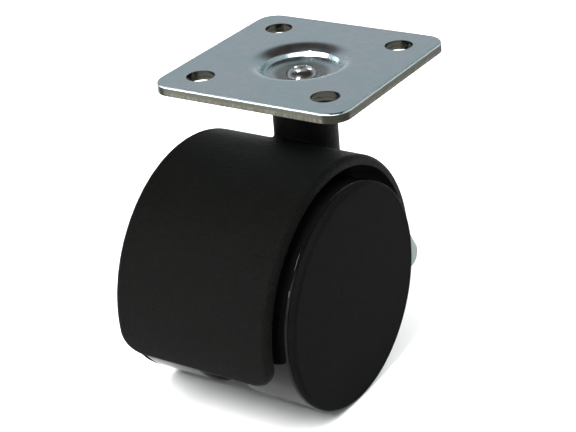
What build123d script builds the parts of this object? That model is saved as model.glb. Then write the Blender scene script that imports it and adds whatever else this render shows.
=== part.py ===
"""Hooded twin-wheel furniture caster with a square top plate and a foot brake.

Millimetres.  +Z is up and the origin is the centre of the plate's top face, on the
swivel axis.  +X points to the leading side: the wheels trail behind it, at -X.
The axle lies along Y.  The right wheel is at -Y and the left wheel at +Y.
"""
import os
from math import cos, hypot, radians, sin, sqrt

from build123d import *

# ---- fits between pieces ----
running_gap = 0.05          # radial play of a shaft that turns in its bore
snug_gap = 0.01             # radial play of a piece that is pressed or clipped in place
face_gap = 0.1              # axial play between faces that slide past each other
joint_overlap = 0.4         # how deep one feature roots in its neighbour

# ---- top plate ----
plate_side = 38.0
plate_thick = 1.7
plate_corner_r = 3.8
plate_edge_r = 0.35         # rolled upper edge left by the press tool
bolt_spacing = 25.0
bolt_hole_r = 2.5
cup_mouth_r = 9.6           # where the top face starts to roll down into the pressed cup
cup_shoulder_r = 7.0        # where the rolled shoulder meets the cup's steep wall
cup_shoulder_depth = 1.05
cup_floor_r = 6.65
cup_depth = 1.95            # at the foot of the cup's wall
cup_dish = 0.45             # how much further the floor sinks to the pin's seat
cup_metal = 1.05            # metal left in the drawn cup
cup_shoulder_bend_r = 0.3
cup_floor_bend_r = 0.35

# ---- swivel pin and what sits on it ----
pin_r = 3.0
tenon_r = 2.2               # reduced end that is peened over in the cup
head_lip = 0.65             # how far the peened head spreads past the tenon
head_height = 0.85
head_seat_lip = 0.35        # how far the cup's flat seat stands out from the head
head_hollow_r = 0.6
head_hollow_depth = 0.45
stake_count = 4             # marks of the tool that spread the head
stake_r = 0.65
stake_reach = 1.5           # each mark's centre, from the pin's axis
stake_rise = 0.2            # each mark's centre, over the head's top
flange_lip = 1.6            # how far the pin's flange stands out from the shank
flange_thick = 0.9
washer_lip = 0.6            # how far the washer stands out from the flange
washer_thick = 0.8
swivel_bush_wall = 0.95
swivel_bush_length = 6.0
ring_thick = 0.7
ring_depth = 0.55           # how far the grip ring sits in its groove
ring_stand = 0.7            # how far the grip ring stands out of its groove
ring_split = 1.1
pin_tip_below_groove = 1.3
pin_tip_chamfer = 0.5
pin_tip_clear = 0.5         # space left under the pin in the neck's bore

# ---- wheels ----
wheel_r = 20.0
axle_offset = 15.6          # axle behind the swivel axis
tread_width = 12.9
cover_side = 1.2            # height of the cover's edge beyond the tread
tyre_thick = 1.6
tyre_inner_edge_r = 1.1
tyre_outer_edge_r = 0.7
tyre_key_width = 1.6
tyre_key_depth = 0.8
tyre_end_gap = 0.05         # tyre's outer end, short of the cover
rim_thick = 1.4
rim_inset = 0.2             # rim's inner end, back from the tyre's
hub_wall = 1.89
hub_recess = 2.4            # hub's outer end, back from the tread's
wheel_web_thick = 1.8
rib_count = 8
rib_thick = 1.2
rib_setback = 1.7           # inner ribs' ends, back from the wheel's inner face
rib_spigot_gap = 0.4
disc_edge_r = 0.8
spigot_wall = 1.05
spigot_gap = 0.15
spigot_length = 2.9
bead_height = 0.3
bead_width = 0.6
bead_from_end = 0.3          # snap bead's start, from the spigot's free end

# ---- axle ----
axle_r = 2.0
axle_tail = 0.9             # axle left beyond each retainer
axle_chamfer = 0.3
spacer_lip = 2.2            # how far the spacer stands out from the axle
spacer_thick = 0.5
hub_bush_wall = 0.75
retainer_thick = 0.6
retainer_lip = 1.6          # how far the retainer stands out from the axle
retainer_depth = 0.4
retainer_mouth = 2.7        # narrower than the groove, so that the clip snaps on

# ---- hood ----
hood_drop = 10.7            # from the plate's top face down to the hood's highest point
hood_gap = 2.4              # between the treads and the shell
hood_wall = 1.7
hood_setback = 1.5          # hood's rims, back from the treads' outer ends
hood_back_deg = 196.0       # trailing lower edge, counted from the leading side over the top
hood_back_corner_r = 4.2
hood_front_corner_r = 2.0
hood_edge_r = 1.1
neck_wall = 1.74
neck_blend_r = 0.5
neck_rim_chamfer = 0.4
wheel_clear = 1.0           # free space kept round the treads under the neck
web_half_thick = 1.6
web_front_deg = 32.0
web_back_deg = 172.0
boss_wall = 2.79
boss_half_width = 3.3
stiffener_count = 3
stiffener_thick = 1.4
stiffener_setback = 0.6     # stiffeners' sides, back from the boss's ends

# ---- brake lever ----
lever_pivot_deg = 13.0
lever_pivot_rise = 0.5      # pivot's height over the hood's outer skin
lever_travel_deg = 20.0     # foot pressure turns it this far, onto the treads
lever_hub_r = 2.2
lever_pin_r = 1.0
lever_half_width = 8.9
paddle_setback = 1.8        # paddle's ends, back from the hood's rims
paddle_drop = 2.2           # paddle's top edge, below the axle
elbow_from_pivot = (1.65, -6.15)
elbow_r = 1.0
toe_from_pivot = (3.55, -11.95)
toe_r = 2.6
toe_edge_r = 0.8
shoe_clear = 0.2            # shoes to treads, with the lever fully pressed
shoe_setback = 0.7          # shoes' inner ends, from the treads' inner edges
shoe_width = 3.6
shoe_root_r = 1.0
shoe_depth = 4.2            # ribs' reach behind the paddle, before the treads' arc is cut
notch_gap = 0.25
notch_clear_deg = 7.5       # from the pivot up to the notch's top
notch_end_deg = -8.0
lug_spread_deg = 16.5       # from the pivot up to the lug's root
lug_r = 2.3
lug_width = 2.7
lug_root_r = 0.7
pin_overhang = 0.3

# ---- places worked out from the sizes above ----
wheel_inner_y = boss_half_width + spacer_thick + face_gap
tread_outer_y = wheel_inner_y + tread_width
disc_face_y = tread_outer_y + cover_side
hub_outer_y = tread_outer_y - hub_recess
spigot_end_y = tread_outer_y - spigot_length
wheel_web_y = (wheel_inner_y + tread_outer_y) / 2
hood_half_width = tread_outer_y - hood_setback
hood_inner_r = wheel_r + hood_gap
hood_r = hood_inner_r + hood_wall
web_root_r = hood_inner_r + joint_overlap

axle_z = -(hood_drop + hood_r)
axle_point = (-axle_offset, 0, axle_z)
axle_axis = Axis(axle_point, (0, 1, 0))
side_plane = Plane(origin=axle_point, x_dir=(1, 0, 0), z_dir=(0, -1, 0))
spin_plane = Plane(origin=axle_point, x_dir=(0, 1, 0), z_dir=(1, 0, 0))

head_r = tenon_r + head_lip
flange_r = pin_r + flange_lip
washer_r = flange_r + washer_lip
seat_z = -cup_depth - cup_dish
head_top_z = seat_z + head_height
cup_underside_z = seat_z - cup_metal
flange_z = cup_underside_z - flange_thick
washer_z = flange_z - washer_thick
neck_top_z = washer_z - face_gap
bush_end_z = neck_top_z - swivel_bush_length
groove_top_z = bush_end_z - face_gap
groove_end_z = groove_top_z - ring_thick - 2 * snug_gap
pin_end_z = groove_end_z - pin_tip_below_groove
bore_end_z = pin_end_z - pin_tip_clear
swivel_bush_inner_r = pin_r + running_gap
swivel_bush_outer_r = swivel_bush_inner_r + swivel_bush_wall
neck_bore_r = swivel_bush_outer_r + snug_gap
neck_r = neck_bore_r + neck_wall
neck_root_z = axle_z + sqrt(((hood_r + hood_inner_r) / 2) ** 2 - (axle_offset + neck_r) ** 2)

tyre_inner_r = wheel_r - tyre_thick
rim_inner_r = tyre_inner_r - rim_thick
hub_bush_inner_r = axle_r + running_gap
hub_bush_outer_r = hub_bush_inner_r + hub_bush_wall
hub_r = hub_bush_outer_r + snug_gap + hub_wall
boss_r = axle_r + snug_gap + boss_wall
spacer_r = axle_r + spacer_lip
retainer_r = axle_r + retainer_lip
retainer_y = hub_outer_y + face_gap
axle_end_y = retainer_y + retainer_thick + axle_tail
spigot_outer_r = rim_inner_r - spigot_gap
bead_y = spigot_end_y + bead_from_end + bead_width / 2

lever_pivot_r = hood_r + lever_pivot_rise
lever_pivot = (
    lever_pivot_r * cos(radians(lever_pivot_deg)),
    lever_pivot_r * sin(radians(lever_pivot_deg)),
)
elbow = (lever_pivot[0] + elbow_from_pivot[0], lever_pivot[1] + elbow_from_pivot[1])
toe = (lever_pivot[0] + toe_from_pivot[0], lever_pivot[1] + toe_from_pivot[1])
paddle_half_width = hood_half_width - paddle_setback
shoe_inner_y = wheel_inner_y + shoe_setback
lug_inner_y = lever_half_width + notch_gap
lug_outer_y = lug_inner_y + lug_width
notch_top_deg = lever_pivot_deg + notch_clear_deg


def polar(radius, degrees):
    """A point in the side plane, at a radius from the axle."""
    return (radius * cos(radians(degrees)), radius * sin(radians(degrees)))


def axle_distance(point):
    """How far a point lies from the axle line."""
    return hypot(point.X + axle_offset, point.Z - axle_z)


def save(piece, name):
    """Label a finished piece and write its STEP file."""
    piece.part.label = name
    export_step(piece.part, f"parts/{name}.step")


def mirrored(piece):
    """The right-hand copy of a left-hand piece."""
    with BuildPart() as copy:
        mirror(piece.part, about=Plane.XZ)
    return copy


def ring_of(outer_r, inner_r, start_y, end_y):
    """A plain ring on the axle line."""
    with BuildPart() as ring:
        with BuildSketch(side_plane.offset(-start_y)):
            Circle(outer_r)
            Circle(inner_r, mode=Mode.SUBTRACT)
        extrude(amount=-(end_y - start_y))
    return ring


os.makedirs("parts", exist_ok=True)

# ---- top plate: a pressed square with a drawn cup and four bolt holes ----
with BuildPart() as top_plate:
    with BuildSketch(Plane.XY.offset(-plate_thick)):
        RectangleRounded(plate_side, plate_side, plate_corner_r)
    extrude(amount=plate_thick)
    top_edges = top_plate.faces().sort_by(Axis.Z)[-1].edges()
    fillet(top_edges, plate_edge_r)
    with BuildSketch(Plane.XZ):
        with BuildLine():
            Polyline(
                (0, -plate_thick / 2),
                (cup_shoulder_r + cup_metal, -plate_thick / 2),
                (cup_shoulder_r + cup_metal, -cup_shoulder_depth - cup_metal),
                (cup_floor_r + cup_metal / 2, cup_underside_z),
                (0, cup_underside_z),
                close=True,
            )
        make_face()
    revolve(axis=Axis.Z)
    with BuildSketch(Plane.XZ):
        with BuildLine():
            Line((0, 0), (cup_mouth_r, 0))
            shoulder = TangentArc(
                (cup_mouth_r, 0),
                (cup_shoulder_r, -cup_shoulder_depth),
                tangent=(-1, 0),
            )
            Line(shoulder @ 1, (cup_floor_r, -cup_depth))
            Line((cup_floor_r, -cup_depth), (head_r + head_seat_lip, seat_z))
            Line((head_r + head_seat_lip, seat_z), (0, seat_z))
            Line((0, seat_z), (0, 0))
        make_face()
    revolve(axis=Axis.Z, mode=Mode.SUBTRACT)
    for circle_r, bend_r in (
        (cup_shoulder_r, cup_shoulder_bend_r),
        (cup_floor_r, cup_floor_bend_r),
    ):
        bend = top_plate.edges().filter_by(GeomType.CIRCLE).filter_by(
            lambda edge: abs(edge.radius - circle_r) < 0.01
        )
        fillet(bend, bend_r)
    with BuildSketch(Plane.XY):
        Circle(tenon_r + snug_gap)
        with GridLocations(bolt_spacing, bolt_spacing, 2, 2):
            Circle(bolt_hole_r)
    extrude(amount=cup_underside_z, mode=Mode.SUBTRACT)
save(top_plate, "top_plate")

# ---- swivel pin: peened over in the cup, with a groove for the grip ring ----
with BuildPart() as swivel_pin:
    with BuildSketch(Plane.XZ):
        with BuildLine():
            Polyline(
                (0, seat_z),
                (tenon_r, seat_z),
                (tenon_r, cup_underside_z),
                (flange_r, cup_underside_z),
                (flange_r, flange_z),
                (pin_r, flange_z),
                (pin_r, groove_top_z),
                (pin_r - ring_depth, groove_top_z),
                (pin_r - ring_depth, groove_end_z),
                (pin_r, groove_end_z),
                (pin_r, pin_end_z + pin_tip_chamfer),
                (pin_r - pin_tip_chamfer, pin_end_z),
                (0, pin_end_z),
                close=True,
            )
        make_face()
        with BuildLine():
            Line((0, seat_z), (head_r, seat_z))
            crown = ThreePointArc(
                (head_r, seat_z),
                (head_r * 0.8, seat_z + head_height * 0.72),
                (head_hollow_r, head_top_z),
            )
            Line(crown @ 1, (0, head_top_z))
            Line((0, head_top_z), (0, seat_z))
        make_face()
    revolve(axis=Axis.Z)
    with BuildSketch(Plane.XY.offset(head_top_z)):
        Circle(head_hollow_r)
    extrude(amount=-head_hollow_depth, mode=Mode.SUBTRACT)
    with Locations((0, 0, head_top_z + stake_rise)):
        with PolarLocations(stake_reach, stake_count):
            Sphere(stake_r, mode=Mode.SUBTRACT)
save(swivel_pin, "swivel_pin")

# ---- thrust washer: carries the load between the pin's flange and the neck ----
with BuildPart() as thrust_washer:
    with BuildSketch(Plane.XY.offset(washer_z)):
        Circle(washer_r)
        Circle(pin_r + snug_gap, mode=Mode.SUBTRACT)
    extrude(amount=washer_thick)
save(thrust_washer, "thrust_washer")

# ---- grip ring: a split ring that keeps the hood on the pin ----
with BuildPart() as grip_ring:
    with BuildSketch(Plane.XY.offset(groove_end_z + snug_gap)):
        Circle(pin_r + ring_stand)
        Circle(pin_r - ring_depth + snug_gap, mode=Mode.SUBTRACT)
        with Locations((pin_r, 0)):
            Rectangle(2 * pin_r, ring_split, mode=Mode.SUBTRACT)
    extrude(amount=ring_thick)
save(grip_ring, "grip_ring")

# ---- swivel bush: steel sleeve pressed into the neck, turning on the pin ----
with BuildPart() as swivel_bush:
    with BuildSketch(Plane.XY.offset(bush_end_z)):
        Circle(swivel_bush_outer_r)
        Circle(swivel_bush_inner_r, mode=Mode.SUBTRACT)
    extrude(amount=swivel_bush_length)
save(swivel_bush, "swivel_bush")

# ---- hood: one moulding with the shell, neck, centre web, axle boss and lever lugs ----
with BuildPart() as hood_body:
    with BuildSketch(side_plane):
        with BuildLine():
            CenterArc((0, 0), hood_r, 0, hood_back_deg)
            Line(polar(hood_r, hood_back_deg), polar(hood_inner_r, hood_back_deg))
            CenterArc((0, 0), hood_inner_r, 0, hood_back_deg)
            Line((hood_inner_r, 0), (hood_r, 0))
        make_face()
    extrude(amount=hood_half_width, both=True)
    end_edges = hood_body.edges().filter_by(GeomType.LINE).filter_by(
        lambda edge: abs(edge.length - hood_wall) < 0.01
    )
    front_corners = end_edges.group_by(Axis.X)[-1]
    back_corners = end_edges.group_by(Axis.X)[0]
    fillet(back_corners, hood_back_corner_r)
    fillet(front_corners, hood_front_corner_r)
    outer_skin = hood_body.faces().filter_by(GeomType.CYLINDER).filter_by(
        lambda face: abs(face.radius - hood_r) < 0.01
    )
    fillet(outer_skin.edges(), hood_edge_r)
    with BuildSketch(Plane.XY.offset(neck_root_z)):
        Circle(neck_r)
    extrude(amount=neck_top_z - neck_root_z)
    neck_root = hood_body.edges().filter_by(
        lambda edge: abs(axle_distance(edge @ 0.5) - hood_r) < 0.01
        and abs(hypot((edge @ 0.5).X, (edge @ 0.5).Y) - neck_r) < 0.01
    )
    fillet(neck_root, neck_blend_r)
    neck_mouth = hood_body.faces().sort_by(Axis.Z)[-1].edges()
    chamfer(neck_mouth, neck_rim_chamfer)
    with BuildSketch(side_plane):
        Circle(wheel_r + wheel_clear)
    extrude(amount=hood_half_width, both=True, mode=Mode.SUBTRACT)
    with BuildSketch(side_plane):
        with BuildLine():
            Line((0, 0), polar(web_root_r, web_front_deg))
            CenterArc((0, 0), web_root_r, web_front_deg, web_back_deg - web_front_deg)
            Line(polar(web_root_r, web_back_deg), (0, 0))
        make_face()
    extrude(amount=web_half_thick, both=True)
    with BuildSketch(side_plane):
        Circle(boss_r)
    extrude(amount=boss_half_width, both=True)
    web_sweep_deg = web_back_deg - web_front_deg
    for number in range(stiffener_count):
        stiffener_deg = web_front_deg + web_sweep_deg * (number + 0.5) / stiffener_count
        with BuildSketch(side_plane):
            with BuildLine():
                Line(polar(boss_r - joint_overlap, stiffener_deg), polar(web_root_r, stiffener_deg))
            trace(line_width=stiffener_thick)
        extrude(amount=boss_half_width - stiffener_setback, both=True)
    with BuildSketch(side_plane):
        with Locations(lever_pivot):
            Circle(lug_r)
        with Locations(polar(hood_r - hood_wall / 2, lever_pivot_deg + lug_spread_deg)):
            Circle(lug_root_r)
        make_hull()
    extrude(amount=lug_outer_y, both=True)
    with BuildSketch(side_plane):
        with BuildLine():
            Polyline(
                polar(wheel_r, notch_end_deg),
                polar(wheel_r, notch_top_deg),
                polar(hood_r + 2 * lug_r, notch_top_deg),
                polar(hood_r + 2 * lug_r, notch_end_deg),
                close=True,
            )
        make_face()
    extrude(amount=lug_inner_y, both=True, mode=Mode.SUBTRACT)
    with BuildSketch(side_plane):
        with Locations(lever_pivot):
            Circle(lever_pin_r + snug_gap)
    extrude(amount=lug_outer_y + pin_overhang, both=True, mode=Mode.SUBTRACT)
    with BuildSketch(side_plane):
        Circle(axle_r + snug_gap)
    extrude(amount=boss_half_width, both=True, mode=Mode.SUBTRACT)
    with BuildSketch(Plane.XY.offset(neck_top_z)):
        Circle(neck_bore_r)
    extrude(amount=bore_end_z - neck_top_z, mode=Mode.SUBTRACT)
save(hood_body, "hood_body")

# ---- brake lever: a moulded pedal whose ribs press on both treads ----
turn = radians(lever_travel_deg)
shoe_centre = (
    lever_pivot[0] - lever_pivot[0] * cos(turn) + lever_pivot[1] * sin(turn),
    lever_pivot[1] - lever_pivot[0] * sin(turn) - lever_pivot[1] * cos(turn),
)
with BuildPart() as brake_lever:
    with BuildSketch(side_plane):
        with Locations(lever_pivot):
            Circle(lever_hub_r)
        with Locations(elbow):
            Circle(elbow_r)
        make_hull()
    extrude(amount=lever_half_width, both=True)
    with BuildSketch(side_plane):
        with Locations(elbow):
            Circle(elbow_r)
        with Locations(toe):
            Circle(toe_r)
        make_hull()
    extrude(amount=lever_half_width, both=True)
    with BuildSketch(side_plane):
        with Locations(elbow):
            Circle(elbow_r)
        with Locations(toe):
            Circle(toe_r)
        make_hull()
        split(bisect_by=Plane.XZ.offset(paddle_drop), keep=Keep.TOP)
    extrude(amount=paddle_half_width, both=True)
    paddle_ends = brake_lever.faces().filter_by(
        lambda face: abs(abs(face.center().Y) - paddle_half_width) < 0.01
    )
    fillet(paddle_ends.edges(), toe_edge_r)
    for side in (1, -1):
        with BuildSketch(side_plane.offset(-side * shoe_inner_y)):
            with Locations(elbow):
                Circle(elbow_r)
            with Locations(toe, (elbow[0] - shoe_depth, elbow[1]), (toe[0] - shoe_depth, toe[1])):
                Circle(shoe_root_r)
            make_hull()
            with Locations(shoe_centre):
                Circle(wheel_r + shoe_clear, mode=Mode.SUBTRACT)
        extrude(amount=-side * shoe_width)
    with BuildSketch(side_plane):
        with Locations(lever_pivot):
            Circle(lever_pin_r + running_gap)
    extrude(amount=lever_half_width, both=True, mode=Mode.SUBTRACT)
save(brake_lever, "brake_lever")

# ---- brake lever pin: pressed into both lugs ----
with BuildPart() as brake_lever_pin:
    with BuildSketch(side_plane):
        with Locations(lever_pivot):
            Circle(lever_pin_r)
    extrude(amount=lug_outer_y + pin_overhang, both=True)
    chamfer(brake_lever_pin.edges().filter_by(GeomType.CIRCLE), axle_chamfer)
save(brake_lever_pin, "brake_lever_pin")

# ---- axle: a plain pin with a groove near each end ----
with BuildPart() as axle:
    with BuildSketch(side_plane):
        Circle(axle_r)
    extrude(amount=axle_end_y, both=True)
    chamfer(axle.edges().filter_by(GeomType.CIRCLE), axle_chamfer)
    for side in (1, -1):
        with BuildSketch(side_plane.offset(-side * retainer_y)):
            Circle(axle_r)
            Circle(axle_r - retainer_depth, mode=Mode.SUBTRACT)
        extrude(amount=-side * retainer_thick, mode=Mode.SUBTRACT)
save(axle, "axle")

# ---- spacers between the boss and the wheels, and clips in the axle's grooves ----
left_spacer = ring_of(spacer_r, axle_r + snug_gap, boss_half_width, boss_half_width + spacer_thick)
right_spacer = mirrored(left_spacer)
save(left_spacer, "left_spacer")
save(right_spacer, "right_spacer")

with BuildPart() as left_retainer:
    with BuildSketch(side_plane.offset(-retainer_y - snug_gap)):
        Circle(retainer_r)
        Circle(axle_r - retainer_depth + snug_gap, mode=Mode.SUBTRACT)
        with Locations((0, -retainer_r)):
            Rectangle(retainer_mouth, 2 * retainer_r, mode=Mode.SUBTRACT)
    extrude(amount=-(retainer_thick - 2 * snug_gap))
right_retainer = mirrored(left_retainer)
save(left_retainer, "left_retainer")
save(right_retainer, "right_retainer")

# ---- wheel cores: hub, web, ribs and rim in one moulding ----
with BuildPart() as left_wheel_core:
    with BuildSketch(spin_plane):
        with Locations((wheel_inner_y, hub_bush_outer_r + snug_gap)):
            Rectangle(
                hub_outer_y - wheel_inner_y,
                hub_r - hub_bush_outer_r - snug_gap,
                align=(Align.MIN, Align.MIN),
            )
        with Locations((wheel_web_y, hub_r - joint_overlap)):
            Rectangle(
                wheel_web_thick,
                rim_inner_r - hub_r + 2 * joint_overlap,
                align=(Align.CENTER, Align.MIN),
            )
        with Locations((wheel_inner_y + rim_inset, rim_inner_r)):
            Rectangle(tread_outer_y - wheel_inner_y - rim_inset, rim_thick, align=(Align.MIN, Align.MIN))
        with Locations((wheel_web_y, tyre_inner_r)):
            Rectangle(
                tyre_key_width + 2 * snug_gap,
                2 * (tyre_key_depth + snug_gap),
                mode=Mode.SUBTRACT,
            )
        with Locations((bead_y, rim_inner_r)):
            Rectangle(bead_width + 2 * spigot_gap, 2 * bead_height, mode=Mode.SUBTRACT)
    revolve(axis=axle_axis)
    rib_inner_y = wheel_inner_y + rib_setback
    rib_outer_y = spigot_end_y - rib_spigot_gap
    for rib_start_y, rib_end_y in ((rib_inner_y, wheel_web_y), (wheel_web_y, rib_outer_y)):
        with BuildSketch(side_plane.offset(-rib_start_y)):
            with PolarLocations((hub_r + rim_inner_r) / 2, rib_count):
                Rectangle(rim_inner_r - hub_r + 2 * joint_overlap, rib_thick)
        extrude(amount=-(rib_end_y - rib_start_y))
right_wheel_core = mirrored(left_wheel_core)
save(left_wheel_core, "left_wheel_core")
save(right_wheel_core, "right_wheel_core")

# ---- tyres: smooth treads keyed into the rims ----
with BuildPart() as left_tyre:
    with BuildSketch(spin_plane):
        with Locations((wheel_inner_y, tyre_inner_r + snug_gap)):
            Rectangle(
                tread_outer_y - tyre_end_gap - wheel_inner_y,
                tyre_thick - snug_gap,
                align=(Align.MIN, Align.MIN),
            )
        with Locations((wheel_web_y, tyre_inner_r - tyre_key_depth)):
            Rectangle(tyre_key_width, tyre_key_depth + 2 * snug_gap, align=(Align.CENTER, Align.MIN))
    revolve(axis=axle_axis)
    tread_edges = left_tyre.edges().filter_by(GeomType.CIRCLE).filter_by(
        lambda edge: abs(edge.radius - wheel_r) < 0.01
    )
    fillet(tread_edges.sort_by(Axis.Y)[0], tyre_inner_edge_r)
    tread_edges = left_tyre.edges().filter_by(GeomType.CIRCLE).filter_by(
        lambda edge: abs(edge.radius - wheel_r) < 0.01
    )
    fillet(tread_edges.sort_by(Axis.Y)[-1], tyre_outer_edge_r)
right_tyre = mirrored(left_tyre)
save(left_tyre, "left_tyre")
save(right_tyre, "right_tyre")

# ---- wheel covers: flat discs that snap into the rims ----
with BuildPart() as left_wheel_cover:
    with BuildSketch(spin_plane):
        with Locations((tread_outer_y, 0)):
            Rectangle(disc_face_y - tread_outer_y, wheel_r, align=(Align.MIN, Align.MIN))
        with Locations((spigot_end_y, spigot_outer_r - spigot_wall)):
            Rectangle(tread_outer_y - spigot_end_y, spigot_wall, align=(Align.MIN, Align.MIN))
        with Locations((bead_y, spigot_outer_r - spigot_wall / 2)):
            Rectangle(
                bead_width,
                spigot_wall / 2 + spigot_gap + bead_height / 2,
                align=(Align.CENTER, Align.MIN),
            )
    revolve(axis=axle_axis)
    face_rim = left_wheel_cover.edges().filter_by(GeomType.CIRCLE).filter_by(
        lambda edge: abs(edge.radius - wheel_r) < 0.01
    )
    fillet(face_rim.sort_by(Axis.Y)[-1], disc_edge_r)
right_wheel_cover = mirrored(left_wheel_cover)
save(left_wheel_cover, "left_wheel_cover")
save(right_wheel_cover, "right_wheel_cover")

# ---- hub bushes: pressed into the hubs, turning on the axle ----
left_hub_bush = ring_of(hub_bush_outer_r, hub_bush_inner_r, wheel_inner_y, hub_outer_y)
right_hub_bush = mirrored(left_hub_bush)
save(left_hub_bush, "left_hub_bush")
save(right_hub_bush, "right_hub_bush")
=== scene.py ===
"""Hooded twin-wheel caster: finishes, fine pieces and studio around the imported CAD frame.

Metres, in the frame of the CAD model: +Z up, origin at the centre of the plate's top face.
"""
import math
from typing import NamedTuple

import bmesh
import bpy
from bpy.props import FloatProperty, FloatVectorProperty, IntProperty, PointerProperty
from mathutils import Matrix, Vector


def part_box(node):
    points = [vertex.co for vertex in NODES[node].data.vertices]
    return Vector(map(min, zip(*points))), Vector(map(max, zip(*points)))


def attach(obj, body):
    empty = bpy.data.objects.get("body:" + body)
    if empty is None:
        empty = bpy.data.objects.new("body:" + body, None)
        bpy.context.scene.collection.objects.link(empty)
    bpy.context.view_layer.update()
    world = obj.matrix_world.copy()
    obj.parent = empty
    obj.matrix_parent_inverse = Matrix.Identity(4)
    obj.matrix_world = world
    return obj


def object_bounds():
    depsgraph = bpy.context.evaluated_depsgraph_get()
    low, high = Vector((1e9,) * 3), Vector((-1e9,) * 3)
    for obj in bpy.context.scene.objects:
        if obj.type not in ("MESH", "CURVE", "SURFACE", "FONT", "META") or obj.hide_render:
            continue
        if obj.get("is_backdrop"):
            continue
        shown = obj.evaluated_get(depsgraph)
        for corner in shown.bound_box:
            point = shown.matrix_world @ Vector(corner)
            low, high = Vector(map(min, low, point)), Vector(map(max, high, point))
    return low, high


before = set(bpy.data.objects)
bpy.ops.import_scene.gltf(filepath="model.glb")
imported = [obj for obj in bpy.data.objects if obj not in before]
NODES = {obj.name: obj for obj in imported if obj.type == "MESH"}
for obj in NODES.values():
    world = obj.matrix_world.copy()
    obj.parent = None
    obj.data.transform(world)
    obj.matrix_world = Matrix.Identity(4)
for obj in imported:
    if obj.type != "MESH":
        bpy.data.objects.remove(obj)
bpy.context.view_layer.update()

MM = 0.001

bl_info = {
    "name": "Hooded Twin-Wheel Caster",
    "version": (1, 0, 0),
    "blender": (4, 5, 0),
    "location": "View3D > Sidebar > Caster",
    "description": "Finishes, fine pieces and a studio for a hooded twin-wheel caster",
    "category": "Object",
}


# ---------------------------------------------------------------- settings

def colour_setting(name, description, default):
    return FloatVectorProperty(
        name=name, description=description, subtype="COLOR", size=3, min=0, max=1, default=default)


def length_setting(name, description, default):
    return FloatProperty(name=name, description=description, unit="LENGTH", default=default)


def power_setting(name, description, default):
    return FloatProperty(name=name, description=description + ", in watts", default=default, min=0)


class CasterFinish(bpy.types.PropertyGroup):
    """Colours and surface qualities of the caster."""
    zinc: colour_setting("Zinc", "Colour of the plated sheet", (0.61, 0.69, 0.74))
    # Partly painted shade: the sides are zinc like the top, made this dark to stand for the darker
    # reflection they show; the torn and burnished bands are real.
    sheared: colour_setting(
        "Sheared edge", "Colour of the sheet where the press broke it", (0.165, 0.165, 0.135))
    # Painted shade: colour of the dark ring round the peened head, where the head shades the cup's floor.
    ring_shade: colour_setting("Stain", "Colour of the ring round the peened head", (0.17, 0.145, 0.105))
    steel: colour_setting("Steel", "Colour of the turned steel pieces", (0.60, 0.63, 0.65))
    moulding: colour_setting("Moulding", "Colour of the hood's nylon", (0.0020, 0.0022, 0.0019))
    disc: colour_setting("Disc", "Colour of the wheels' cores and cover discs", (0.0026, 0.0029, 0.0026))
    tread: colour_setting("Tread", "Colour of the glossy treads", (0.0025, 0.0025, 0.0028))
    lever: colour_setting("Lever", "Colour of the brake lever", (0.135, 0.168, 0.162))
    acetal: colour_setting("Acetal", "Colour of the bushes and spacers", (0.72, 0.71, 0.66))
    grain_size: length_setting("Grain size", "Spacing of the moulded grain", 0.28 * MM)


class CasterPlate(bpy.types.PropertyGroup):
    """Where the press and the plating left their marks on the top plate, and where shade and a dark
    reflection are painted on it.
    """
    torn_depth: length_setting(
        "Torn depth", "From the top face down to the torn band of the sheared sides", 0.70 * MM)
    torn_fade: length_setting("Torn fade", "How gradually the torn band begins", 0.15 * MM)
    torn_waver: length_setting("Torn waver", "How far down the torn band's edge wanders", 0.50 * MM)
    # The bolt holes' walls take painted shade; this strip keeps it off the outer sides.
    hole_margin: length_setting(
        "Hole margin", "Strip along the plate's sides with no pierced wall in it", 2.4 * MM)
    hole_fade: length_setting("Hole fade", "How gradually that strip ends", 0.6 * MM)
    # Painted dark reflection on the sides at the plate's square corners.
    corner_reach: length_setting(
        "Corner reach", "How near the square corner, along x plus along y, the side is darkest", 3.0 * MM)
    corner_fade: length_setting("Corner fade", "How gradually a corner darkens", 0.7 * MM)
    rim_width: length_setting("Rim width", "Strip along the plate's sides that is duller", 0.32 * MM)
    rim_fade: length_setting("Rim fade", "How gradually that strip begins", 0.26 * MM)
    # Radii of the ring of painted shade round the peened head.
    ring_shade_inner: length_setting("Stain inner", "Radius where the stain begins", 2.6 * MM)
    ring_shade_full: length_setting("Stain full", "Radius where the stain is darkest", 3.0 * MM)
    ring_shade_thin: length_setting("Stain thin", "Radius where the stain starts to thin", 4.1 * MM)
    ring_shade_outer: length_setting("Stain outer", "Radius where the stain ends", 5.4 * MM)


class CasterPedal(bpy.types.PropertyGroup):
    """Anti-slip ribs on the brake pedal."""
    toe_radius: length_setting("Toe radius", "Radius of the pedal's lower edge", 2.6 * MM)
    face_tilt: FloatProperty(
        name="Face tilt", description="How far the pedal's face leans from level", subtype="ANGLE",
        default=math.radians(56.6))
    rib_count: IntProperty(
        name="Ribs", description="Number of ribs", default=3, min=1, max=8)
    rib_pitch: length_setting("Pitch", "Distance between ribs", 1.35 * MM)
    rib_start: length_setting("Start", "First rib, up from the toe", 0.6 * MM)
    rib_length: length_setting("Length", "Length of a rib", 23.0 * MM)
    rib_width: length_setting("Width", "Width of a rib at its root", 0.75 * MM)
    rib_height: length_setting("Height", "How far a rib's back stands over its root", 0.3 * MM)
    rib_root: length_setting(
        "Root", "Thickness of the root, half of it sunk in the pedal", 0.3 * MM)
    back_narrowing: FloatProperty(
        name="Back narrowing", description="Width of a rib's back, as a share of its root's",
        default=0.6, min=0, max=1)
    back_shortening: FloatProperty(
        name="Back shortening", description="Length of a rib's back, as a share of its root's",
        default=0.98, min=0, max=1)
    rounding: FloatProperty(
        name="Rounding", description="Width of a rib's bevels, as a share of its width",
        default=0.22, min=0, max=0.5)
    rounding_steps: IntProperty(
        name="Rounding steps", description="Segments of a rib's bevels", default=3, min=1, max=8)


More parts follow.
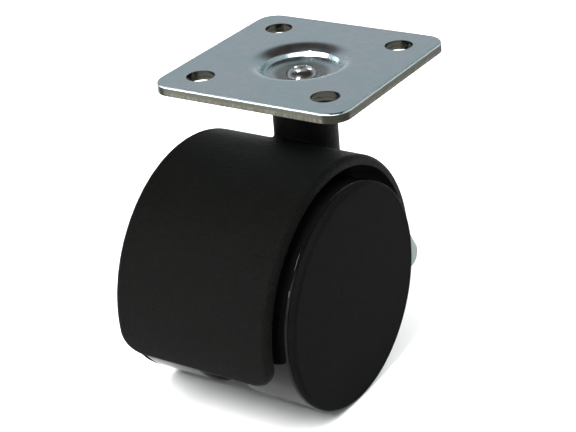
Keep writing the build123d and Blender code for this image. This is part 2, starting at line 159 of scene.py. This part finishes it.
class CasterStage(bpy.types.PropertyGroup):
    """Camera, floor and lights."""
    target: FloatVectorProperty(
        name="Target", description="Point the camera looks at", subtype="TRANSLATION",
        size=3, default=(-0.01001, -0.00138, -0.02529))
    heading: FloatProperty(
        name="Heading", description="Direction the camera looks in, from +X towards +Y",
        subtype="ANGLE", default=math.radians(34.556))
    dip: FloatProperty(
        name="Dip", description="How far the camera looks down", subtype="ANGLE",
        default=math.radians(26.522))
    roll: FloatProperty(
        name="Roll", description="Camera's turn about its line of sight", subtype="ANGLE",
        default=math.radians(-5.003))
    distance: length_setting("Distance", "Camera to target", 0.27499)
    lens: FloatProperty(
        name="Lens", description="Focal length, in millimetres", default=98.05, min=20, max=300)
    sensor: FloatProperty(
        name="Sensor", description="Width of the sensor, in millimetres", default=36.0, min=1)
    floor_size: length_setting("Floor", "Width of the floor", 6.0)
    floor_tone: FloatProperty(
        name="Floor tone", description="How pale the floor is", default=0.9, min=0, max=1)
    key_power: power_setting("Key light", "Power of the overhead softbox", 16.0)
    key_size: length_setting("Key size", "Width of the overhead softbox", 2.0)
    side_power: power_setting("Side light", "Power of the softbox on the trailing side", 20.0)
    rear_power: power_setting("Rear light", "Power of the softbox on the leading side", 9.0)
    side_size: length_setting("Side size", "Width of the softboxes on the two sides", 0.5)
    light_distance: length_setting("Light distance", "Lamps to the origin", 1.0)


# ---------------------------------------------------------------- node helpers

class Graph:
    """A material's or a group's nodes, added one at a time and linked by name."""

    def __init__(self, tree):
        self.tree = tree

    def add(self, kind, inputs=None, **settings):
        node = self.tree.nodes.new(kind)
        for key, value in settings.items():
            setattr(node, key, value)
        for key, value in (inputs or {}).items():
            self.put(node, key, value)
        return node

    def put(self, node, key, value):
        socket = node.inputs[key]
        if isinstance(value, bpy.types.NodeSocket):
            self.tree.links.new(value, socket)
        elif isinstance(value, bpy.types.Node):
            self.tree.links.new(value.outputs[0], socket)
        else:
            socket.default_value = value

    def math(self, operation, a, b=0.0):
        return self.add("ShaderNodeMath", {0: a, 1: b}, operation=operation).outputs[0]

    def ramp(self, value, low, high):
        """0 below low and 1 above high, smooth between."""
        node = self.add(
            "ShaderNodeMapRange", {"Value": value, "From Min": low, "From Max": high},
            interpolation_type="SMOOTHSTEP")
        return node.outputs[0]

    def fall(self, value, low, high):
        """1 below low and 0 above high, smooth between."""
        return self.math("SUBTRACT", 1.0, self.ramp(value, low, high))

    def scaled(self, value, by, plus):
        return self.math("ADD", self.math("MULTIPLY", value, by), plus)

    def mix(self, factor, a, b, blend="MIX"):
        """Mix two colours, which are the node's inputs 6 and 7 and its output 2."""
        node = self.add(
            "ShaderNodeMix", {0: factor, 6: a, 7: b}, data_type="RGBA", blend_type=blend)
        return node.outputs[2]

    def parts(self, vector):
        """The x, y and z of a vector."""
        return self.add("ShaderNodeSeparateXYZ", {0: vector}).outputs

    def noise(self, place, scale, detail=4.0, roughness=0.5):
        node = self.add(
            "ShaderNodeTexNoise",
            {"Vector": place, "Scale": scale, "Detail": detail, "Roughness": roughness})
        return node.outputs[0]

    def place(self):
        return self.add("ShaderNodeTexCoord").outputs["Object"]

    def toward_sky(self):
        """In a world's nodes, the direction that is looked in."""
        return self.add("ShaderNodeTexCoord").outputs["Generated"]

    def bump(self, height, distance, strength=1.0, normal=None):
        inputs = {"Height": height, "Distance": distance, "Strength": strength}
        if normal is not None:
            inputs["Normal"] = normal
        return self.add("ShaderNodeBump", inputs).outputs[0]


def rgba(colour, scale=1.0):
    return (colour[0] * scale, colour[1] * scale, colour[2] * scale, 1.0)


def cast(colour, shares):
    """A colour that leans another way: each of its three parts times a share of its own."""
    return tuple(part * share for part, share in zip(colour, shares))


def new_material(name, constants=None):
    """A material with one Principled shader; constants go on its own sockets."""
    material = bpy.data.materials.new(name)
    material.use_nodes = True
    graph = Graph(material.node_tree)
    shader = material.node_tree.nodes["Principled BSDF"]
    for key, value in (constants or {}).items():
        shader.inputs[key].default_value = value
    return material, graph, shader


def new_group(name, inputs, outputs):
    """An empty shader group; inputs are (name, kind, default), outputs are (name, kind)."""
    tree = bpy.data.node_groups.new(name, "ShaderNodeTree")
    for label, kind, default in inputs:
        socket = tree.interface.new_socket(label, in_out="INPUT", socket_type=kind)
        socket.default_value = default
    for label, kind in outputs:
        tree.interface.new_socket(label, in_out="OUTPUT", socket_type=kind)
    graph = Graph(tree)
    return tree, graph, graph.add("NodeGroupInput").outputs, graph.add("NodeGroupOutput")


# ---------------------------------------------------------------- shared effects

def grain_group():
    """Fine spark-eroded grain of a moulded part: its height, patches and pale flecks."""
    tree, graph, given, made = new_group(
        "moulded_grain",
        [("Size", "NodeSocketFloat", 0.28 * MM)],
        [("Height", "NodeSocketFloat"), ("Patch", "NodeSocketFloat"), ("Fleck", "NodeSocketFloat")])
    place = graph.place()
    fine_scale = graph.math("DIVIDE", 1.0, given["Size"])
    coarse_scale = graph.math("MULTIPLY", fine_scale, 0.33)
    fine = graph.noise(place, fine_scale, detail=3.0, roughness=0.6)
    coarse = graph.noise(place, coarse_scale, detail=2.0)
    graph.put(made, "Height", graph.math("ADD", fine, graph.math("MULTIPLY", coarse, 0.6)))
    graph.put(made, "Patch", graph.noise(place, scale=90.0, detail=3.0, roughness=0.55))
    graph.put(made, "Fleck", graph.ramp(fine, low=0.35, high=0.7))
    return tree


# Directions of the hairlines: the turn about Z in radians, and how finely the lines lie across it.
HAIRLINE_WAYS = ((0.5, 14.0), (-0.9, 20.0))


def scratch_group():
    """Hairline scratches: thin lines in two directions, broken up by a noise."""
    tree, graph, given, made = new_group(
        "hairlines",
        [("Scale", "NodeSocketFloat", 900.0), ("Amount", "NodeSocketFloat", 0.5)],
        [("Mask", "NodeSocketFloat")])
    place = graph.place()
    streak_scale = graph.math("DIVIDE", given["Scale"], 8.0)
    lines = []
    for turn, stretch in HAIRLINE_WAYS:
        turned = graph.add(
            "ShaderNodeMapping",
            {"Vector": place, "Rotation": (0.0, 0.0, turn), "Scale": (1.0, stretch, 1.0)})
        streak = graph.noise(turned, streak_scale, detail=2.0, roughness=0.4)
        lines.append(graph.ramp(streak, low=0.66, high=0.72))
    crossed = graph.math("MAXIMUM", *lines)
    breaks = graph.ramp(graph.noise(place, scale=120.0, detail=2.0), low=0.45, high=0.62)
    broken = graph.math("MULTIPLY", crossed, breaks)
    graph.put(made, "Mask", graph.math("MULTIPLY", broken, given["Amount"]))
    return tree


# ---------------------------------------------------------------- materials

class Plastic(NamedTuple):
    """A moulded plastic, and the CAD nodes that are made of it."""
    name: str
    colour: str         # one of the finish's colours
    spacing: float      # of the grain, as a share of the finish's grain size
    roughness: float
    depth: float        # of the grain, in metres
    shine: float        # specular level
    fleck: float        # how much the grain varies the colour
    nodes: tuple


PLASTICS = (
    Plastic("hood_nylon", "moulding", spacing=1.0, roughness=0.46, depth=0.2 * MM, shine=0.02,
            fleck=0.9, nodes=("hood_body",)),
    Plastic("disc_nylon", "disc", spacing=0.7, roughness=0.55, depth=0.06 * MM, shine=0.006,
            fleck=0.9, nodes=("left_wheel_cover", "right_wheel_cover")),
    Plastic("core_nylon", "disc", spacing=1.0, roughness=0.4, depth=0.01 * MM, shine=0.4,
            fleck=0.5, nodes=("left_wheel_core", "right_wheel_core")),
    Plastic("lever_nylon", "lever", spacing=1.0, roughness=0.42, depth=0.02 * MM, shine=0.5,
            fleck=0.08, nodes=("brake_lever",)),
    Plastic("acetal", "acetal", spacing=1.0, roughness=0.35, depth=0.005 * MM, shine=0.5,
            fleck=0.05, nodes=("left_spacer", "right_spacer", "left_hub_bush", "right_hub_bush")),
)
PATCH_TONE = 0.2            # how much lighter or darker a patch is, as a share of the fleck
PATCH_ROUGHNESS = 0.14      # between a moulding's shiniest and dullest patches


def moulded(plastic, finish, grain):
    """Moulded plastic, with fine grain and patches that differ a little in tone and shine."""
    material, graph, shader = new_material(plastic.name, {"Specular IOR Level": plastic.shine})
    colour = getattr(finish, plastic.colour)
    effect = graph.add("ShaderNodeGroup", node_tree=grain)
    effect.inputs["Size"].default_value = finish.grain_size * plastic.spacing
    patch = effect.outputs["Patch"]
    swing = PATCH_TONE * plastic.fleck
    tone = graph.mix(
        graph.ramp(patch, low=0.3, high=0.7), rgba(colour, 1.0 - swing), rgba(colour, 1.0 + swing))
    flecked = graph.mix(effect.outputs["Fleck"], tone, rgba(colour, 1.0 + plastic.fleck))
    graph.put(shader, "Base Color", flecked)
    shiniest = plastic.roughness - PATCH_ROUGHNESS / 2
    graph.put(shader, "Roughness", graph.scaled(patch, by=PATCH_ROUGHNESS, plus=shiniest))
    graph.put(shader, "Normal", graph.bump(effect.outputs["Height"], plastic.depth))
    return material


TREAD_SHINE = 0.08              # specular level
TREAD_ROUGHNESS = 0.02          # where the tread is shiniest
TREAD_SWIRL_ROUGHNESS = 0.06    # added where it is dullest
TREAD_TONES = (0.8, 1.3)        # darkest and palest, as shares of the tread's colour


def glossy_tread(colour):
    """Smooth tread, with a swirl in its tone and shine."""
    material, graph, shader = new_material("glossy_tread", {"Specular IOR Level": TREAD_SHINE})
    place = graph.place()
    swirl = graph.noise(place, scale=260.0, detail=4.0, roughness=0.55)
    dark, pale = TREAD_TONES
    graph.put(shader, "Base Color", graph.mix(swirl, rgba(colour, dark), rgba(colour, pale)))
    rough = graph.scaled(swirl, by=TREAD_SWIRL_ROUGHNESS, plus=TREAD_ROUGHNESS)
    graph.put(shader, "Roughness", rough)
    ripple = graph.noise(place, scale=900.0, detail=2.0)
    graph.put(shader, "Normal", graph.bump(ripple, distance=0.006 * MM))
    return material


GREEN_CAST = (0.93, 1.01, 0.99)     # the plating's patches, as shares of its colour
PINK_CAST = (1.04, 0.975, 1.0)
CLOUD_CAST = (0.93, 0.93, 0.93)

# Tones of the plate's sides, as shares of the sheared edge's colour: the bands are real marks of the
# shearing, their darkness against the top is painted shade.
TORN_TONES = (0.36, 0.66)           # between and on the torn band's striae
BURNISHED_TONE = 0.40               # above the torn band, where the press rubbed
# Painted dark reflection on the sides at the square corners.
CORNER_REFLECTION_TONE = 0.1
CORNER_REFLECTION_COVER = 0.9                  # how much of a corner takes its tone
# Painted shade inside the bolt holes: their walls are the same sheared sheet as the sides, made darker.
PIERCED_SHADE_TONE = 0.22                 # the walls of the bolt holes

# Roughness of the plating, and what its marks add to it.
SATIN_ROUGHNESS = 0.17
CLOUD_ROUGHNESS = 0.16
SCRATCH_ROUGHNESS = 0.15
RIM_ROUGHNESS = 0.34

STRIA_SQUEEZE = 0.12                # striae run down the sides: their pattern's scale along Z


def plated_tint(graph, place, cloud, zinc):
    """The plating's colour, in patches that lean to green and to pink, dulled in clouds."""
    drift = graph.noise(place, scale=75.0, detail=3.0)
    blush = graph.noise(place, scale=110.0, detail=3.0, roughness=0.6)
    cool = graph.mix(graph.ramp(drift, low=0.35, high=0.62), rgba(cast(zinc, GREEN_CAST)), rgba(zinc))
    tint = graph.mix(graph.ramp(blush, low=0.52, high=0.75), cool, rgba(cast(zinc, PINK_CAST)))
    dulled = graph.mix(1.0, tint, rgba(CLOUD_CAST), "MULTIPLY")
    return graph.mix(graph.ramp(cloud, low=0.35, high=0.7), dulled, tint)


def painted_shade_ring(graph, across, along, cloud, plate):
    """How much painted shade darkens the cup's floor, in a ring round the peened head."""
    flat_place = graph.add("ShaderNodeCombineXYZ", {0: across, 1: along})
    radius = graph.add("ShaderNodeVectorMath", {0: flat_place}, operation="LENGTH").outputs["Value"]
    ring = graph.math(
        "MULTIPLY", graph.ramp(radius, plate.ring_shade_inner, plate.ring_shade_full),
        graph.fall(radius, plate.ring_shade_thin, plate.ring_shade_outer))
    return graph.math("MULTIPLY", ring, graph.scaled(cloud, by=0.5, plus=0.45))


def zinc_sheet(finish, plate, hairlines):
    """Zinc plated sheet: satin and faintly iridescent on top, torn on its sheared sides; painted shade
    darkens the sides, the bolt holes and a ring round the peened head, and a painted dark reflection the
    square corners.
    """
    material, graph, shader = new_material("zinc_sheet", {"Metallic": 1.0})
    half_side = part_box("top_plate")[1].x
    place = graph.place()
    across, along, height = graph.parts(place)
    from_x = graph.math("ABSOLUTE", across)
    from_y = graph.math("ABSOLUTE", along)
    reach = graph.math("MAXIMUM", from_x, from_y)
    cloud = graph.noise(place, scale=420.0, detail=5.0, roughness=0.6)
    scratch = graph.add("ShaderNodeGroup", node_tree=hairlines).outputs["Mask"]

    upright = graph.parts(graph.add("ShaderNodeNewGeometry").outputs["Normal"])[2]
    side = graph.fall(graph.math("ABSOLUTE", upright), low=0.1, high=0.35)
    waver = graph.math("MULTIPLY", graph.noise(place, scale=600.0, detail=3.0), plate.torn_waver)
    torn = graph.fall(
        graph.math("ADD", height, waver), -plate.torn_depth - plate.torn_fade, -plate.torn_depth)
    torn_side = graph.math("MULTIPLY", side, torn)
    # Painted shade on the walls of the bolt holes.
    hole_reach = half_side - plate.hole_margin
    hole_wall_shade = graph.math("MULTIPLY", side, graph.fall(reach, hole_reach - plate.hole_fade, hole_reach))
    # Where the painted dark reflection lies, on the sides near the square corners.
    darkest = 2 * half_side - plate.corner_reach
    cornered = graph.ramp(graph.math("ADD", from_x, from_y), darkest - plate.corner_fade, darkest)
    corner = graph.math("MULTIPLY", side, cornered)

    drawn = graph.add("ShaderNodeMapping", {"Vector": place, "Scale": (1.0, 1.0, STRIA_SQUEEZE)})
    striae = graph.noise(drawn, scale=2600.0, detail=3.0, roughness=0.6)
    sheared = finish.sheared
    dark, pale = TORN_TONES
    broken = graph.mix(graph.ramp(striae, low=0.35, high=0.7), rgba(sheared, dark), rgba(sheared, pale))
    tint = plated_tint(graph, place, cloud, finish.zinc)
    # Painted shade darkens the sides against the zinc top, over the real burnished band.
    burnished = graph.mix(side, tint, rgba(sheared, BURNISHED_TONE))
    banded = graph.mix(torn_side, burnished, broken)
    # Paint the dark reflection on the corners.
    reflection_share = graph.math("MULTIPLY", corner, CORNER_REFLECTION_COVER)
    corner_reflected = graph.mix(reflection_share, banded, rgba(sheared, CORNER_REFLECTION_TONE))
    # Painted shade on the cup's floor round the peened head.
    ring_shaded = graph.mix(painted_shade_ring(graph, across, along, cloud, plate), corner_reflected, rgba(finish.ring_shade))
    graph.put(shader, "Base Color", graph.mix(hole_wall_shade, ring_shaded, rgba(sheared, PIERCED_SHADE_TONE)))

    satin = graph.scaled(cloud, by=CLOUD_ROUGHNESS, plus=SATIN_ROUGHNESS)
    scratched = graph.math("ADD", satin, graph.math("MULTIPLY", scratch, SCRATCH_ROUGHNESS))
    rim_reach = half_side - plate.rim_width
    rim = graph.ramp(reach, rim_reach - plate.rim_fade, rim_reach)
    dulled = graph.math("ADD", scratched, graph.math("MULTIPLY", rim, RIM_ROUGHNESS))
    graph.put(shader, "Roughness", dulled)

    skin = graph.bump(graph.noise(place, scale=5200.0, detail=3.0, roughness=0.6), distance=0.008 * MM)
    scored = graph.bump(scratch, distance=0.01 * MM, strength=0.6, normal=skin)
    grooves = graph.math("MULTIPLY", striae, torn_side)
    graph.put(shader, "Normal", graph.bump(grooves, distance=0.06 * MM, normal=scored))
    return material


STEEL_TONES = (0.85, 1.1)               # darkest and palest, as shares of the steel's colour
STEEL_CLOUD_ROUGHNESS = 0.16
STEEL_SCRATCH_ROUGHNESS = 0.2


def turned_steel(name, colour, roughness, hairlines):
    """Turned or ground steel, with a cloudy shine and hairline marks."""
    material, graph, shader = new_material(name, {"Metallic": 1.0})
    place = graph.place()
    cloud = graph.noise(place, scale=800.0, detail=3.0)
    dark, pale = STEEL_TONES
    graph.put(shader, "Base Color", graph.mix(cloud, rgba(colour, dark), rgba(colour, pale)))
    scratch = graph.add("ShaderNodeGroup", node_tree=hairlines).outputs["Mask"]
    rough = graph.scaled(cloud, by=STEEL_CLOUD_ROUGHNESS, plus=roughness)
    marks = graph.math("MULTIPLY", scratch, STEEL_SCRATCH_ROUGHNESS)
    graph.put(shader, "Roughness", graph.math("ADD", rough, marks))
    skin = graph.noise(place, scale=6000.0, detail=3.0, roughness=0.55)
    graph.put(shader, "Normal", graph.bump(skin, distance=0.008 * MM))
    return material


TURNED_ROUGHNESS = 0.14
SPRING_ROUGHNESS = 0.3
SPRING_SHADE = 0.6      # spring steel's colour, as a share of turned steel's


def dress(material, *names):
    """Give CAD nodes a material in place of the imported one."""
    for name in names:
        mesh = NODES[name].data
        mesh.materials.clear()
        mesh.materials.append(material)


class CASTER_OT_finish(bpy.types.Operator):
    """Give every carried-over CAD node its finish"""
    bl_idname = "caster.finish"
    bl_label = "Finish CAD Nodes"

    def execute(self, context):
        finish = context.scene.caster_finish
        grain = grain_group()
        hairlines = scratch_group()
        for plastic in PLASTICS:
            dress(moulded(plastic, finish, grain), *plastic.nodes)
        dress(glossy_tread(finish.tread), "left_tyre", "right_tyre")
        dress(zinc_sheet(finish, context.scene.caster_plate, hairlines), "top_plate")
        dress(turned_steel("turned_steel", finish.steel, TURNED_ROUGHNESS, hairlines),
              "swivel_pin", "thrust_washer", "swivel_bush", "axle")
        spring = [SPRING_SHADE * part for part in finish.steel]
        dress(turned_steel("spring_steel", spring, SPRING_ROUGHNESS, hairlines),
              "grip_ring", "left_retainer", "right_retainer", "brake_lever_pin")
        return {"FINISHED"}


# ---------------------------------------------------------------- pedal ribs

def select_top(piece):
    """Select, in edit mode, the highest face of a new piece."""
    bpy.ops.mesh.select_all(action="DESELECT")
    shape = bmesh.from_edit_mesh(piece.data)
    max(shape.faces, key=lambda face: face.calc_center_median().z).select_set(True)
    bmesh.update_edit_mesh(piece.data)


SMOOTH_ANGLE = math.radians(40)


def round_edges(piece, width, segments):
    """Bevel every sharp edge of a piece, and shade it smooth."""
    bevel = piece.modifiers.new("round", "BEVEL")
    bevel.width = width
    bevel.segments = segments
    bpy.ops.object.modifier_apply(modifier=bevel.name)
    bpy.ops.object.shade_smooth_by_angle(angle=SMOOTH_ANGLE)


def one_rib(pedal):
    """A long low bar with a narrowed, rounded back, lying along Y."""
    bpy.ops.object.select_all(action="DESELECT")
    root = (pedal.rib_width, pedal.rib_length, pedal.rib_root)
    bpy.ops.mesh.primitive_cube_add(size=1.0, scale=root)
    rib = bpy.context.object
    bpy.ops.object.transform_apply(location=False, rotation=False, scale=True)
    bpy.ops.object.mode_set(mode="EDIT")
    select_top(rib)
    bpy.ops.mesh.extrude_region_move(TRANSFORM_OT_translate={"value": (0, 0, pedal.rib_height)})
    bpy.ops.transform.resize(value=(pedal.back_narrowing, pedal.back_shortening, 1.0))
    bpy.ops.object.mode_set(mode="OBJECT")
    round_edges(rib, pedal.rounding * pedal.rib_width, pedal.rounding_steps)
    return rib


class CASTER_OT_pedal_ribs(bpy.types.Operator):
    """Model the anti-slip ribs across the brake pedal"""
    bl_idname = "caster.pedal_ribs"
    bl_label = "Pedal Ribs"

    def execute(self, context):
        pedal = context.scene.caster_pedal
        low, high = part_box("brake_lever")
        middle = (low.y + high.y) / 2
        toe = Vector((high.x - pedal.toe_radius, middle, low.z + pedal.toe_radius))
        outward = Vector((math.sin(pedal.face_tilt), 0, math.cos(pedal.face_tilt)))
        upward = Vector((-math.cos(pedal.face_tilt), 0, math.sin(pedal.face_tilt)))
        first = one_rib(pedal)
        ribs = [first]
        while len(ribs) < pedal.rib_count:
            copy = first.copy()
            copy.data = first.data.copy()
            context.scene.collection.objects.link(copy)
            ribs.append(copy)
        bpy.ops.object.select_all(action="DESELECT")
        for count, rib in enumerate(ribs):
            along = pedal.rib_start + count * pedal.rib_pitch
            rib.location = toe + outward * pedal.toe_radius + upward * along
            rib.rotation_euler = (0, pedal.face_tilt, 0)
            rib.select_set(True)
        context.view_layer.objects.active = first
        bpy.ops.object.transform_apply(location=True, rotation=True, scale=True)
        bpy.ops.object.join()
        first.name = "pedal_ribs"
        first.data.name = "pedal_ribs"
        first.data.materials.append(bpy.data.materials["lever_nylon"])
        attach(first, "lever")
        return {"FINISHED"}


# ---------------------------------------------------------------- stage

def camera_matrix(stage):
    """Where the camera stands: it looks at the target along a heading, dipped and rolled."""
    ahead = Vector((
        math.cos(stage.dip) * math.cos(stage.heading),
        math.cos(stage.dip) * math.sin(stage.heading),
        -math.sin(stage.dip)))
    right = ahead.cross(Vector((0, 0, 1))).normalized()
    up = right.cross(ahead)
    turn = Matrix.Rotation(stage.roll, 3, -ahead)
    axes = Matrix((turn @ right, turn @ up, -ahead)).transposed()
    return Matrix.Translation(Vector(stage.target) - ahead * stage.distance) @ axes.to_4x4()


# The sky's colours, and the rises between which one turns into the next, as the sine of the angle.
SKY_PALE = (0.95, 0.95, 0.94)
SKY_GREY = (0.44, 0.47, 0.485)
SKY_BROWN = (0.045, 0.031, 0.025)
PALE_TO_GREY = (0.02, 0.22)
GREY_TO_BROWN = (0.5, 0.74)


def studio_sky(world):
    """Pale at the horizon, blue grey above it and dim brown overhead."""
    world.use_nodes = True
    graph = Graph(world.node_tree)
    rise = graph.parts(graph.toward_sky())[2]
    low = graph.mix(graph.ramp(rise, *PALE_TO_GREY), rgba(SKY_PALE), rgba(SKY_GREY))
    sky = graph.mix(graph.ramp(rise, *GREY_TO_BROWN), low, rgba(SKY_BROWN))
    graph.put(world.node_tree.nodes["Background"], "Color", sky)


class Softbox(NamedTuple):
    """A square lamp that lights colour and doesn't show in gloss."""
    name: str
    power: str          # the stage's setting for it
    size: str           # the stage's setting for its width
    azimuth: float      # degrees, from +X towards +Y
    rise: float         # degrees


class Card(NamedTuple):
    """A lamp that only shows in gloss."""
    name: str
    azimuth: float      # degrees, from +X towards +Y
    rise: float         # degrees
    width: float        # metres
    height: float       # metres
    power: float        # watts


SOFTBOXES = (
    Softbox("overhead_softbox", "key_power", "key_size", azimuth=0.0, rise=90.0),
    Softbox("side_softbox", "side_power", "side_size", azimuth=175.0, rise=51.0),
    Softbox("rear_softbox", "rear_power", "side_size", azimuth=-25.0, rise=40.0),
)
CARDS = (
    Card("near_card", azimuth=214.6, rise=14.0, width=1.20, height=0.50, power=6.5),
    Card("left_card", azimuth=150.0, rise=11.0, width=0.50, height=0.50, power=14.0),
    Card("high_strip", azimuth=180.0, rise=50.0, width=0.05, height=0.30, power=5.0),
    Card("low_strip", azimuth=180.0, rise=20.0, width=0.06, height=0.10, power=2.4),
)


def hang_lamp(name, power, width, height, toward, distance, glossy):
    """A rectangular lamp that faces the origin, and shows either in gloss or in colour."""
    lamp = bpy.data.lights.new(name, "AREA")
    lamp.energy = power
    lamp.shape = "RECTANGLE"
    lamp.size = width
    lamp.size_y = height
    panel = bpy.data.objects.new(name, lamp)
    bpy.context.scene.collection.objects.link(panel)
    facing = toward.normalized()
    turn = facing.to_track_quat("Z", "Y").to_matrix().to_4x4()
    panel.matrix_world = Matrix.Translation(facing * distance) @ turn
    panel.visible_glossy = glossy
    panel.visible_diffuse = not glossy


def bearing(azimuth, rise):
    """The direction towards an azimuth, from +X towards +Y, and a rise, both in degrees."""
    turn = math.radians(azimuth)
    lift = math.radians(rise)
    return Vector((math.cos(lift) * math.cos(turn), math.cos(lift) * math.sin(turn), math.sin(lift)))


PAPER_ROUGHNESS = 0.8
PAPER_SHADE = 0.99      # the paper's darkest patches, as a share of its tone


def lay_floor(stage):
    """A wide sheet of pale paper, level with the lowest point of the wheels."""
    bpy.ops.object.select_all(action="DESELECT")
    bpy.ops.mesh.primitive_plane_add(size=stage.floor_size, location=(0, 0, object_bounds()[0][2]))
    floor = bpy.context.object
    floor.name = "studio_floor"
    material, graph, shader = new_material("floor_paper", {"Roughness": PAPER_ROUGHNESS})
    paper = graph.noise(graph.place(), scale=30.0)
    tone = (stage.floor_tone, stage.floor_tone, stage.floor_tone)
    graph.put(shader, "Base Color", graph.mix(paper, rgba(tone), rgba(tone, PAPER_SHADE)))
    floor.data.materials.append(material)
    floor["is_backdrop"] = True


def hang_lamps(stage):
    """The softboxes and then the cards, all at one distance."""
    away = stage.light_distance
    for box in SOFTBOXES:
        size = getattr(stage, box.size)
        power = getattr(stage, box.power)
        toward = bearing(box.azimuth, box.rise)
        hang_lamp(box.name, power, size, size, toward, away, glossy=False)
    for card in CARDS:
        toward = bearing(card.azimuth, card.rise)
        hang_lamp(card.name, card.power, card.width, card.height, toward, away, glossy=True)


def place_camera(stage):
    camera = bpy.data.cameras.new("camera")
    camera.sensor_width = stage.sensor
    camera.lens = stage.lens
    camera.clip_start = 5 * MM
    holder = bpy.data.objects.new("camera", camera)
    bpy.context.scene.collection.objects.link(holder)
    holder.matrix_world = camera_matrix(stage)
    bpy.context.scene.camera = holder


class CASTER_OT_stage(bpy.types.Operator):
    """Set up the floor, the lights and the camera"""
    bl_idname = "caster.stage"
    bl_label = "Studio"

    def execute(self, context):
        stage = context.scene.caster_stage
        lay_floor(stage)
        world = bpy.data.worlds.new("studio")
        context.scene.world = world
        studio_sky(world)
        hang_lamps(stage)
        place_camera(stage)
        context.scene.view_settings.view_transform = "Standard"
        return {"FINISHED"}


class CASTER_PT_panel(bpy.types.Panel):
    """Lists the caster's sizes, colours and operators"""
    bl_label = "Hooded Caster"
    bl_idname = "CASTER_PT_panel"
    bl_space_type = "VIEW_3D"
    bl_region_type = "UI"
    bl_category = "Caster"

    def draw(self, context):
        scene = context.scene
        for group in (scene.caster_finish, scene.caster_plate, scene.caster_pedal, scene.caster_stage):
            column = self.layout.column(align=True)
            for name in group.__annotations__:
                column.prop(group, name)
        for operator in OPERATORS:
            self.layout.operator(operator.bl_idname)


OPERATORS = (CASTER_OT_finish, CASTER_OT_pedal_ribs, CASTER_OT_stage)
CLASSES = (CasterFinish, CasterPlate, CasterPedal, CasterStage) + OPERATORS + (CASTER_PT_panel,)


def register():
    for item in CLASSES:
        bpy.utils.register_class(item)
    bpy.types.Scene.caster_finish = PointerProperty(type=CasterFinish)
    bpy.types.Scene.caster_plate = PointerProperty(type=CasterPlate)
    bpy.types.Scene.caster_pedal = PointerProperty(type=CasterPedal)
    bpy.types.Scene.caster_stage = PointerProperty(type=CasterStage)


def unregister():
    del bpy.types.Scene.caster_stage
    del bpy.types.Scene.caster_pedal
    del bpy.types.Scene.caster_plate
    del bpy.types.Scene.caster_finish
    for item in reversed(CLASSES):
        bpy.utils.unregister_class(item)


def main():
    register()
    bpy.ops.caster.finish()
    bpy.ops.caster.pedal_ribs()
    bpy.ops.caster.stage()


if __name__ == "__main__":
    main()
